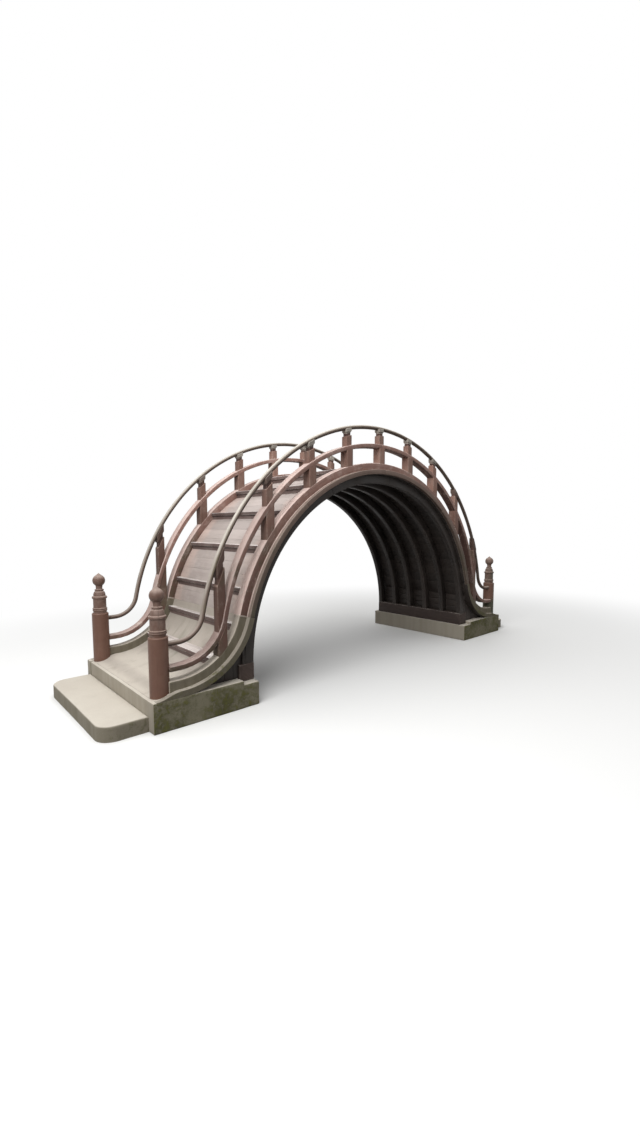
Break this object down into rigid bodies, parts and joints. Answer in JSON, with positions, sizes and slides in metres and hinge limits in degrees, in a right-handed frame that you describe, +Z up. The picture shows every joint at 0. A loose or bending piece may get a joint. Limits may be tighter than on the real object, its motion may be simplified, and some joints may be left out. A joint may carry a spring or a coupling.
{
  "type": "moon bridge",
  "caption": "Steep drum-arched timber garden footbridge with stepped deck, curved two-rail parapets, onion-capped newels and concrete landings.",
  "frame": {"origin": "on the ground under the crown, at the middle of the bounding box's underside", "axes": "+X along the bridge, +Y across it, +Z up"},
  "size_m": [6.9106, 1.86, 3.0428],
  "materials": {
    "concrete": "weathered cast concrete",
    "mossy_concrete": "mossy cast concrete",
    "dark_timber": "dark stained, in shade",
    "deck_boards": "worn paint, faded",
    "painted_timber": "faded red-brown paint",
    "weathered_rail": "weathered, algae-grey",
    "newel_paint": "satin red-brown paint"
  },
  "bodies": {
    "root": {"abutment_left": "concrete", "abutment_right": "concrete", "step_left": "concrete", "step_right": "concrete", "flare_left": "mossy_concrete", "flare_right": "mossy_concrete", "curbs_left": "mossy_concrete", "curbs_right": "mossy_concrete", "sill_left": "dark_timber", "sill_right": "dark_timber", "rib_1": "dark_timber", "rib_2": "dark_timber", "rib_3": "dark_timber", "rib_4": "dark_timber", "rib_5": "dark_timber", "rib_6": "dark_timber", "lining_left": "dark_timber", "lining_right": "dark_timber", "cheeks_left": "dark_timber", "cheeks_right": "dark_timber", "deck_left": "deck_boards", "deck_crown": "deck_boards", "deck_right": "deck_boards", "edge_board_near": "painted_timber", "edge_board_far": "painted_timber", "kerb_near": "painted_timber", "kerb_far": "painted_timber", "treads_left": "deck_boards", "treads_right": "deck_boards", "lower_posts_near": "painted_timber", "lower_posts_far": "painted_timber", "mid_rail_near": "painted_timber", "mid_rail_far": "painted_timber", "upper_posts_near": "painted_timber", "upper_posts_far": "painted_timber", "rail_blocks_near": "weathered_rail", "rail_blocks_far": "weathered_rail", "top_rail_near": "weathered_rail", "top_rail_far": "weathered_rail", "newels_left": "newel_paint", "newels_right": "newel_paint", "finials_left": "newel_paint", "finials_right": "newel_paint"}
  },
  "joints": []
}
